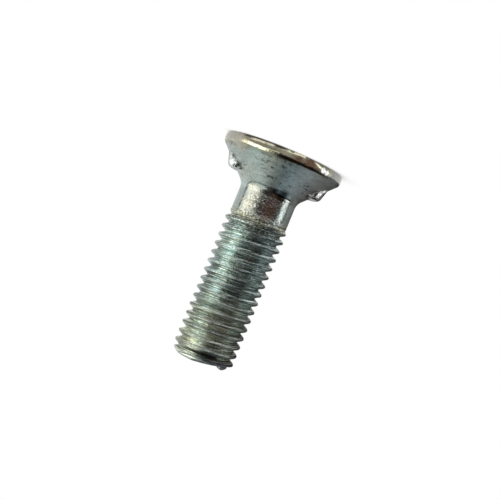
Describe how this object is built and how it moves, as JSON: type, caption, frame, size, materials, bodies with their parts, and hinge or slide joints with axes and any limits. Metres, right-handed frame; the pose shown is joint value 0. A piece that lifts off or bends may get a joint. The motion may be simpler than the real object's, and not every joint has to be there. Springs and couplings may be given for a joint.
{
  "type": "plow bolt",
  "caption": "Flat countersunk bolt with a pair of opposite nibs under the head, a plain neck and a coarse right-hand metric thread.",
  "frame": {"origin": "centre of the flat head face, on the surface that the bolt stands on", "axes": "+Z along the shank, from the head face to the point; +X and -X through the two nibs"},
  "size_m": [0.023, 0.023, 0.0419],
  "materials": {
    "zinc_plate": "bright zinc plating with a faint blue and yellow tint"
  },
  "bodies": {
    "root": {"plow_bolt": "zinc_plate"}
  },
  "joints": []
}
